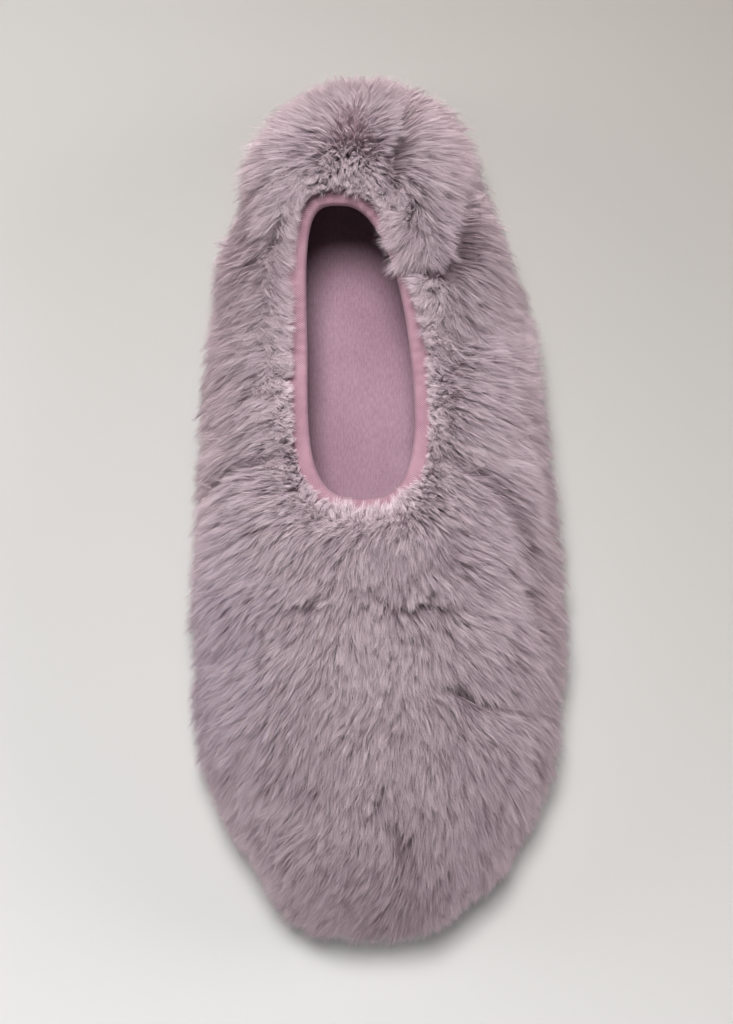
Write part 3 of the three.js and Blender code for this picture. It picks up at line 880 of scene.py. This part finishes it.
# the folded tape in section, as distances from the mouth's edge and heights: its outside first, then its inside
def bindingSection():
    gap, cloth, wide = layers["gap"], layers["bindingCloth"], layers["bindingWidth"]
    top, base = stackHeight + gap + cloth, -gap - cloth
    middle, reach = (top + base) / 2, (top - base) / 2
    section = [(wide - 0.25, top), (wide * 0.7, top + 0.12), (wide * 0.4, top + 0.1)]
    roll = binding["edgeRoll"]
    for a in np.radians(np.linspace(80, -80, binding["edgeSteps"])):
        section.append((roll - (layers["edgeGrow"] + roll) * math.cos(a), middle + reach * math.sin(a)))
    section += [(wide * 0.5, base), (wide - 0.25, base), (wide, base + 0.2), (wide, -gap)]
    section += [(stackEnd, -gap), (-gap, -gap), (-gap, stackHeight + gap), (stackEnd, stackHeight + gap)]
    section += [(wide, stackHeight + gap), (wide + 0.05, top - 0.25)]
    return section


# the cloth's own map: round the mouth, and round the section
def mapBinding(tape, section, edgeLength):
    clothMap = tape.data.uv_layers.new(name="clothMap")
    size, columns = len(section), binding["columns"]
    steps = [math.dist(a, b) for a, b in zip(section, section[1:] + section[:1])]
    girth = np.concatenate([[0], np.cumsum(steps)])
    for polygon in tape.data.polygons:
        corners = [divmod(tape.data.loops[i].vertex_index, size) for i in polygon.loop_indices]
        rings, places = zip(*corners)
        pastLastRing, pastLastPlace = max(rings) - min(rings) > 1, max(places) - min(places) > 1
        for i, (ring, place) in zip(polygon.loop_indices, corners):
            ring = columns if pastLastRing and ring == 0 else ring
            place = size if pastLastPlace and place == 0 else place
            clothMap.data[i].uv = (ring / columns * edgeLength * mm, girth[place] * mm)


def makeBinding():
    bearings, edgeLength = evenBearings(binding["columns"])
    section = bindingSection()
    run = np.arange(binding["columns"]) / binding["columns"] * edgeLength
    gathers = np.sin(2 * math.pi * run / binding["gatherPitch"] + 2.5 * np.sin(run / 17))
    gathers = gathers * (0.6 + 0.4 * np.sin(run / 9 + 1)) * binding["gather"]
    rings = []
    for k, (distance, off) in enumerate(section):
        share = 0.4 if k < 2 else 1 if k < 12 else 0  # the inside lies flat on the padding
        push = gathers * share * (1 if off > 1 else -0.5)
        rings.append(edgePoint(bearings, np.full(len(bearings), distance), off + push))
    points, faces = sweep(np.stack(rings, 1), True)
    tape = meshPiece("mouthBinding", inFrame(points), faces, bindingMaterial)
    mapBinding(tape, section, edgeLength)
    return tape, edgeLength


mouthTape, edgeLength = makeBinding()
finishPiece(mouthTape, "binding", "mouth_binding")


# one stitch: a short plump thread that dips into the cloth at both ends
def stitchRings(centres, ups, thickness, sides):
    steps = len(centres)
    rings = []
    for i, (centre, up) in enumerate(zip(centres, ups)):
        ahead = unit(centres[min(i + 1, steps - 1)] - centres[max(i - 1, 0)])
        side = unit(np.cross(ahead, up))
        top = np.cross(side, ahead)
        taper = thickness / 2 * (0.45 if i in (0, steps - 1) else 1.0)
        rings.append([
            centre + (side * math.cos(a) + top * math.sin(a)) * taper
            for a in np.linspace(0, 2 * math.pi, sides, endpoint=False)
        ])
    return np.array(rings)


def threadPiece(name, stitches, thickness, sides=6):
    points, faces = [], []
    for centres, ups in stitches:
        rings = stitchRings(centres, ups, thickness, sides)
        faces += ringFaces(len(points), len(rings), sides)
        points += list(rings.reshape(-1, 3))
    return meshPiece(name, inFrame(points), faces, threadMaterial)


def makeBindingStitches(count):
    starts, _ = evenBearings(count)
    ends = np.append(starts[1:], 360)
    steps = np.linspace(0, binding["stitchLength"] / binding["stitchPitch"], 5)
    height = stackHeight + layers["gap"] + layers["bindingCloth"] + np.array([-0.15, 0.1, 0.15, 0.1, -0.15])
    stitches = []
    for start, end in zip(starts, ends):
        line = start + (end - start) * steps
        share = (layers["bindingWidth"] - binding["stitchInset"]) / span(line)
        stitches.append((layerPoint(line, share, height), formNormal(line, share)))
    return threadPiece("bindingStitches", stitches, binding["thread"])


stitchCount = int(edgeLength / binding["stitchPitch"])
finishPiece(makeBindingStitches(stitchCount), "thread", "binding_stitches")
print("binding and stitches made:", stitchCount, "stitches round", round(edgeLength), "mm")


# the insole

insole = dict(columns=240, clearance=0.5, crown=1.0, edgeRound=1.2, edgeShare=0.03, crownShare=0.3)


# the outline inside the lining at a height
def insideOutline(bearing, height, clearance):
    shares = np.linspace(1, 0.6, 60)
    grid = np.repeat(bearing[:, None], len(shares), 1)
    wall = formPoint(grid, np.repeat(shares[None, :], len(bearing), 0))
    plan = np.empty((len(bearing), 2))
    for i in range(len(bearing)):
        plan[i] = [np.interp(height, wall[i, :, 2], wall[i, :, axis]) for axis in (0, 1)]
    return plan - formNormal(bearing, np.ones_like(bearing))[:, :2] * clearance


# a slab in the insole's outline, with a rounded edge and a gentle crown, from rings that shrink to the middle
def insolePiece(name, low, high, crown, material):
    bearing = np.linspace(0, 360, insole["columns"], endpoint=False)
    outer = insideOutline(bearing, (low + high) / 2, insole["clearance"])
    spine = np.stack([np.full(len(bearing), -3.0) + outer[:, 0] * 0.02, outer[:, 1] * 0.86], -1)
    middle = outer.mean(0)
    edge = min(insole["edgeRound"], (high - low) / 2)
    rings = []
    for inward in (0.0, 0.01, 0.03, 0.08, 0.2, 0.36, 0.54, 0.72, 0.88):
        plan = outer * (1 - inward) + (spine * (1 - inward) + middle * inward) * inward
        onCrown, onEdge = (min(1, inward / insole[part]) for part in ("crownShare", "edgeShare"))
        height = high - edge * (1 - onEdge) ** 2 + crown * onCrown * (2 - onCrown)
        rings.append(lifted(plan, np.full((len(plan), 1), height)))
    top = np.stack(rings, 0)
    bottom = top.copy()
    bottom[..., 2] = low + (high - bottom[..., 2]).clip(0, edge)
    points = np.concatenate([top[::-1], bottom], 0)
    faces = ringFaces(0, len(points), len(bearing))
    return meshPiece(name, inFrame(points.reshape(-1, 3)), faces, material)


for name, node, slotName, crown, material in (
    ("insoleCushion", "insole_cushion", "foam", 0.0, foamMaterial),
    ("insoleCover", "insole_cover", "insole", insole["crown"], insoleMaterial),
):
    low, high = (corner[2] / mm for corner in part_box(node))
    slab = insolePiece(name, low, high, crown, material)
    finishPiece(slab, slotName, node)
print("insole made")


# the stitches that hold the upper, one by one in the channel under the sole's rim

soleSeam = dict(grow=1.0, height=0.62, pitch=5.0, stitch=4.1, thread=0.5)


def makeSoleStitches():
    fine = np.linspace(0, 360, 7201)
    run = runAlong(outline(soleSeam["grow"], fine))
    count = int(run[-1] / soleSeam["pitch"])
    steps = np.linspace(0, soleSeam["stitch"] / soleSeam["pitch"], 5)
    heights = soleSeam["height"] + np.array([0.22, 0.02, 0.0, 0.02, 0.22])
    stitches = []
    for k in range(count):
        bearing = np.interp(np.mod((k + steps) * run[-1] / count, run[-1]), run, fine)
        centres = lifted(outline(soleSeam["grow"], bearing), heights[:, None])
        stitches.append((centres, np.tile([0.0, 0.0, -1.0], (5, 1))))
    return threadPiece("soleStitches", stitches, soleSeam["thread"]), count


soleStitches, seamCount = makeSoleStitches()
finishPiece(soleStitches, "thread", "sole_stitches")
print("sole stitches made:", seamCount)


# the woven tape over the back seam, inside the heel

seamTape = dict(width=12.0, thickness=0.5, belowBinding=0.8, ridge=0.06, rows=26, columns=15)


def makeSeamTape():
    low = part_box("heel_seam_tape")[0][2] / mm
    columns = seamTape["columns"]
    shares = np.linspace(1, 0, 400)
    heights = formPoint(np.zeros(400), shares)[:, 2]
    top = (layers["bindingWidth"] + seamTape["belowBinding"]) / span(0.0)
    shares = np.linspace(np.interp(low, heights, shares), top, seamTape["rows"])
    across = np.linspace(-1, 1, columns)
    half = np.full(len(shares), 0.5)
    perDegree = np.linalg.norm(formPoint(half, shares) - formPoint(-half, shares), axis=1)
    bearing = across[None, :] * seamTape["width"] / 2 / perDegree[:, None]
    grid = np.repeat(shares[:, None], columns, 1)
    edge = seamTape["thickness"] * 0.35 * np.abs(across) ** 8
    ridge = seamTape["ridge"] * np.cos(across * math.pi * 5)  # the selvedges and the middle lie a little proud
    face = -layers["gap"] - seamTape["thickness"] + edge - ridge * 0.5
    front = layerPoint(bearing, grid, np.broadcast_to(face, bearing.shape))
    back = layerPoint(bearing, grid, np.full(bearing.shape, -layers["gap"]))
    points, faces = sweep(np.concatenate([front, back[:, ::-1]], 1), False)
    tape = meshPiece("heelSeamTape", inFrame(points), faces, bindingMaterial)
    clothMap = tape.data.uv_layers.new(name="clothMap")
    rowRun = runAlong(front[:, columns // 2])
    for loop in tape.data.loops:
        row, place = divmod(loop.vertex_index, 2 * columns)
        side = across[min(place, 2 * columns - 1 - place)]
        clothMap.data[loop.index].uv = (side * seamTape["width"] / 2 * mm, rowRun[row] * mm)
    return tape


backTape = makeSeamTape()
finishPiece(backTape, "binding", "heel_seam_tape")
print("back seam tape made")


# inner pieces that stay as they are, with their real finishes

for name, material in (
    ("vamp_padding", waddingMaterial), ("inner_quarter_padding", waddingMaterial),
    ("outer_quarter_padding", waddingMaterial), ("heel_counter", boardMaterial),
    ("insole_board", boardMaterial), ("sole_filler", foamMaterial), ("mouth_elastic", elasticMaterial),
    ("outsole", soleMaterial),
):
    slots = nodes[name].data.materials
    if not slots:
        slots.append(material)
    for i in range(len(slots)):
        slots[i] = material
print("inner pieces finished")


# the floor, the light and the camera

def addFloor():
    deselectAll()
    bpy.ops.mesh.primitive_plane_add(size=6, location=(0, 0, 0))
    floor = bpy.context.object
    floor.name = "floor"
    material, tree, shader = newMaterial("palePaperPaintedFalloff")
    # the paper runs from light at one corner to dark at the other: painted light falloff across the floor
    place = addNode(tree, "TexCoord")
    falloffPlace = addNode(
        tree, "Mapping",
        {"Vector": place.outputs["Object"], "Rotation": (0, 0, math.radians(-58)), "Location": (0.5, 0, 0),
         "Scale": (2.2, 2.2, 1)},
    )
    fade = addNode(tree, "TexGradient", {"Vector": falloffPlace.outputs["Vector"]})
    ramp = addNode(tree, "ValToRGB", {"Fac": fade.outputs["Fac"]})
    setRamp(ramp, [(0.0, "#dfe1e1"), (0.5, "#c4c4c2"), (1.0, "#999590")])
    setInputs(tree, shader, {"Base Color": ramp.outputs["Color"], "Roughness": 0.9})
    floor.data.materials.append(material)


# soft round lights, aimed at the middle of the slipper where no other aim is given
lights = {
    "softKey": dict(place=(-0.2, 1.16, 2.84), size=1.2, power=88, colour="#fffcf9", spread=180),
    "softLeft": dict(place=(-2.5, 0.4, 0.9), size=1.8, power=4.6),
    "softRight": dict(place=(2.5, 0.4, 0.9), size=1.8, power=6.0),
    "softToe": dict(place=(0, -2.4, 0.8), size=1.8, power=1.6),
    "heelFill": dict(place=(-0.2, 0.75, 1.3), aim=(0, 0.14, 0.04), size=0.5, power=0.13, spread=24),
}


def addAreaLight(name, place, size, power, aim=(0, 0, 0.03), colour="#fffafc", spread=70):
    light = bpy.data.lights.new(name, "AREA")
    light.shape = "DISK"
    light.size = size
    light.energy = power
    light.color = linear(colour)[:3]
    light.spread = math.radians(spread)
    obj = bpy.data.objects.new(name, light)
    obj.location = place
    obj.rotation_euler = (Vector(aim) - Vector(place)).to_track_quat("-Z", "Y").to_euler()
    bpy.context.collection.objects.link(obj)


# a studio with pale walls and a dark ceiling
def addStudio():
    world = bpy.data.worlds.new("studio")
    world.use_nodes = True
    tree = world.node_tree
    place = addNode(tree, "TexCoord")
    parts = addNode(tree, "SeparateXYZ", {"Vector": place.outputs["Generated"]})
    walls = addNode(tree, "ValToRGB", {"Fac": parts.outputs["Z"]})
    setRamp(walls, [(0.0, "#c6c4c2"), (0.07, "#b5b3b1"), (0.28, "#3e3d3c")])
    setInputs(tree, tree.nodes["Background"], {"Color": walls.outputs["Color"]})
    bpy.context.scene.world = world
    bpy.context.scene.view_settings.view_transform = "Standard"


lens = dict(focal=100.0, sensor=36.0, place=(-0.0037, -0.0026, 0.93))


def addCamera():
    data = bpy.data.cameras.new("overhead")
    data.lens = lens["focal"]
    data.sensor_fit = "VERTICAL"
    data.sensor_height = lens["sensor"]
    camera = bpy.data.objects.new("overhead", data)
    camera.location = lens["place"]
    bpy.context.collection.objects.link(camera)
    bpy.context.scene.camera = camera


addFloor()
for name, settings in lights.items():
    addAreaLight(name, **settings)
addStudio()
addCamera()
print("floor, light and camera set")
